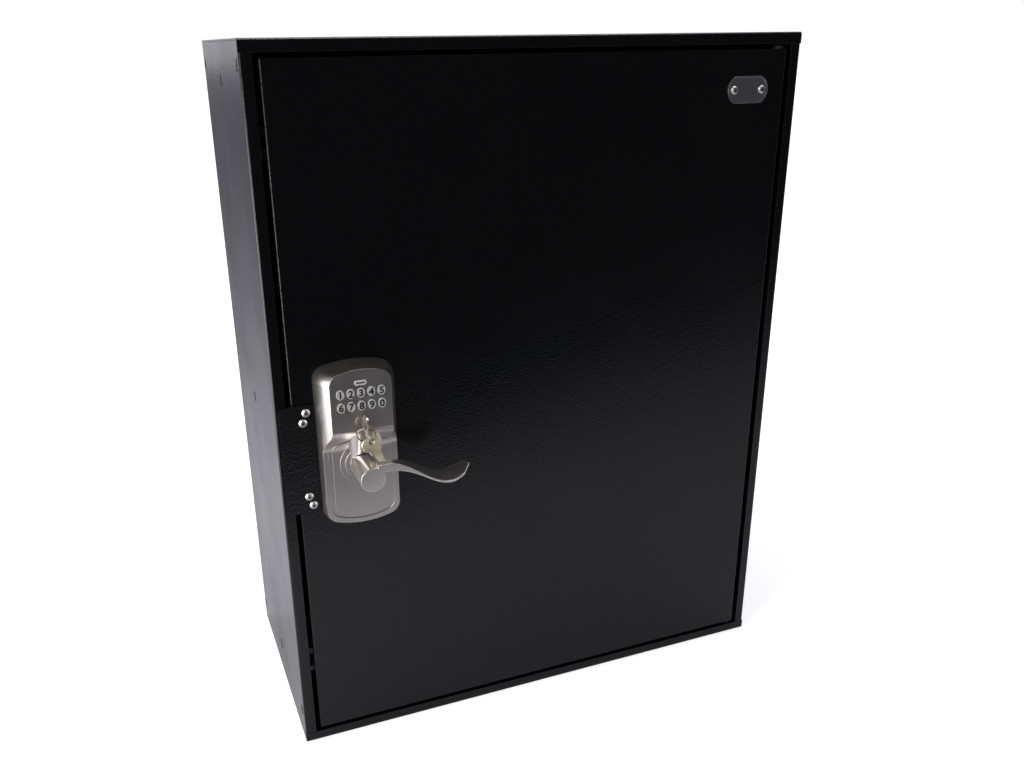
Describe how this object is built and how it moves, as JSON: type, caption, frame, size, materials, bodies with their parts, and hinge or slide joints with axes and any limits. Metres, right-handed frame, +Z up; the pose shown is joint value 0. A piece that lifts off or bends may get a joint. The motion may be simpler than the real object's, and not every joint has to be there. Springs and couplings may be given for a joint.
{
  "type": "key drop box",
  "caption": "Black steel key cabinet with a slot in its top, a rack of hooks, an inset door and a keypad lever lock.",
  "frame": {"origin": "middle of the cabinet's base", "axes": "+Z up, the door faces -Y, +X to the right seen from the front"},
  "size_m": [0.602, 0.349, 0.762],
  "materials": {
    "powder_steel": "fine textured black powder coat",
    "zinc_steel": "zinc plated",
    "steel_screws": "bright",
    "satin_nickel": "satin nickel on a zinc casting",
    "badge_metal": "satin",
    "nickel_silver": "cut key blank",
    "cylinder_metal": "satin",
    "button_plastic": "moulded, with a printed digit",
    "lens_plastic": "moulded, bare",
    "nylon": "natural",
    "rubber": "moulded",
    "board": "solder mask",
    "battery_case": "bare label"
  },
  "bodies": {
    "cabinet": {"top_panel": "powder_steel", "bottom_panel": "powder_steel", "left_side_panel": "powder_steel", "right_side_panel": "powder_steel", "back_panel": "powder_steel", "hook_panel": "powder_steel", "key_hooks": "zinc_steel", "drop_ramp": "powder_steel", "strike_bracket": "zinc_steel", "door_stops": "zinc_steel", "door_bumpers": "rubber", "pivot_bracket_top": "zinc_steel", "pivot_bracket_bottom": "zinc_steel", "pivot_pins": "steel_screws", "pivot_washers": "nylon"},
    "door": {"door_pan": "powder_steel", "door_stiffener": "powder_steel", "lock_box": "powder_steel", "pivot_blocks": "zinc_steel", "guard_plate": "powder_steel", "guard_screws": "steel_screws", "badge_plate": "badge_metal", "badge_screws": "steel_screws", "escutcheon": "satin_nickel", "blank_lens": "lens_plastic", "button_membrane": "rubber", "circuit_board": "board", "lock_cylinder": "cylinder_metal", "outer_bush": "nylon", "latch_housing": "zinc_steel", "latch_faceplate": "zinc_steel", "inside_plate": "satin_nickel", "battery_cover": "satin_nickel", "battery": "battery_case", "inner_bush": "nylon", "mounting_bolts": "steel_screws"},
    "levers": {"outer_lever": "satin_nickel", "spindle": "zinc_steel", "latch_cam": "zinc_steel", "inside_lever": "satin_nickel"},
    "latch": {"latch_bolt": "zinc_steel"},
    "plug": {"key_plug": "cylinder_metal", "cylinder_key": "nickel_silver", "key_ring": "cylinder_metal"},
    "spare": {"spare_key": "nickel_silver"},
    "thumb": {"thumb_turn": "satin_nickel"},
    "key_1": {"button_1": "button_plastic"},
    "key_2": {"button_2": "button_plastic"},
    "key_3": {"button_3": "button_plastic"},
    "key_4": {"button_4": "button_plastic"},
    "key_5": {"button_5": "button_plastic"},
    "key_6": {"button_6": "button_plastic"},
    "key_7": {"button_7": "button_plastic"},
    "key_8": {"button_8": "button_plastic"},
    "key_9": {"button_9": "button_plastic"},
    "key_0": {"button_0": "button_plastic"}
  },
  "joints": [
    {"name": "door_swing", "type": "hinge", "parent": "cabinet", "child": "door", "pos_m": [0.276, -0.135, 0.381], "axis": [0, 0, 1], "range_deg": [0, 110]},
    {"name": "lever_turn", "type": "hinge", "parent": "door", "child": "levers", "pos_m": [-0.219, -0.182, 0.3505], "axis": [0, 1, 0], "range_deg": [0, 45], "stiffness_Nm_per_rad": 0.8, "springref_deg": -22.92},
    {"name": "latch_slide", "type": "slide", "parent": "door", "child": "latch", "axis": [1, 0, 0], "range_m": [0, 0.012]},
    {"name": "key_turn", "type": "hinge", "parent": "door", "child": "plug", "pos_m": [-0.219, -0.1765, 0.402], "axis": [0, 1, 0], "range_deg": [-90, 0]},
    {"name": "spare_key_swing", "type": "hinge", "parent": "plug", "child": "spare", "pos_m": [-0.219, -0.18797, 0.39132], "axis": [0.3746, 0.8535, 0.3623], "range_deg": [-20, 0]},
    {"name": "thumb_turn_turn", "type": "hinge", "parent": "door", "child": "thumb", "pos_m": [-0.219, -0.08, 0.402], "axis": [0, 1, 0], "range_deg": [-90, 0]},
    {"name": "press_1", "type": "slide", "parent": "door", "child": "key_1", "axis": [0, 1, 0], "range_m": [0, 0.0012], "stiffness_N_per_m": 800},
    {"name": "press_2", "type": "slide", "parent": "door", "child": "key_2", "axis": [0, 1, 0], "range_m": [0, 0.0012], "stiffness_N_per_m": 800},
    {"name": "press_3", "type": "slide", "parent": "door", "child": "key_3", "axis": [0, 1, 0], "range_m": [0, 0.0012], "stiffness_N_per_m": 800},
    {"name": "press_4", "type": "slide", "parent": "door", "child": "key_4", "axis": [0, 1, 0], "range_m": [0, 0.0012], "stiffness_N_per_m": 800},
    {"name": "press_5", "type": "slide", "parent": "door", "child": "key_5", "axis": [0, 1, 0], "range_m": [0, 0.0012], "stiffness_N_per_m": 800},
    {"name": "press_6", "type": "slide", "parent": "door", "child": "key_6", "axis": [0, 1, 0], "range_m": [0, 0.0012], "stiffness_N_per_m": 800},
    {"name": "press_7", "type": "slide", "parent": "door", "child": "key_7", "axis": [0, 1, 0], "range_m": [0, 0.0012], "stiffness_N_per_m": 800},
    {"name": "press_8", "type": "slide", "parent": "door", "child": "key_8", "axis": [0, 1, 0], "range_m": [0, 0.0012], "stiffness_N_per_m": 800},
    {"name": "press_9", "type": "slide", "parent": "door", "child": "key_9", "axis": [0, 1, 0], "range_m": [0, 0.0012], "stiffness_N_per_m": 800},
    {"name": "press_0", "type": "slide", "parent": "door", "child": "key_0", "axis": [0, 1, 0], "range_m": [0, 0.0012], "stiffness_N_per_m": 800}
  ],
  "couplings": [
    {"joint": "latch_slide", "follows": "lever_turn", "m_per_rad": 0.0152}
  ]
}
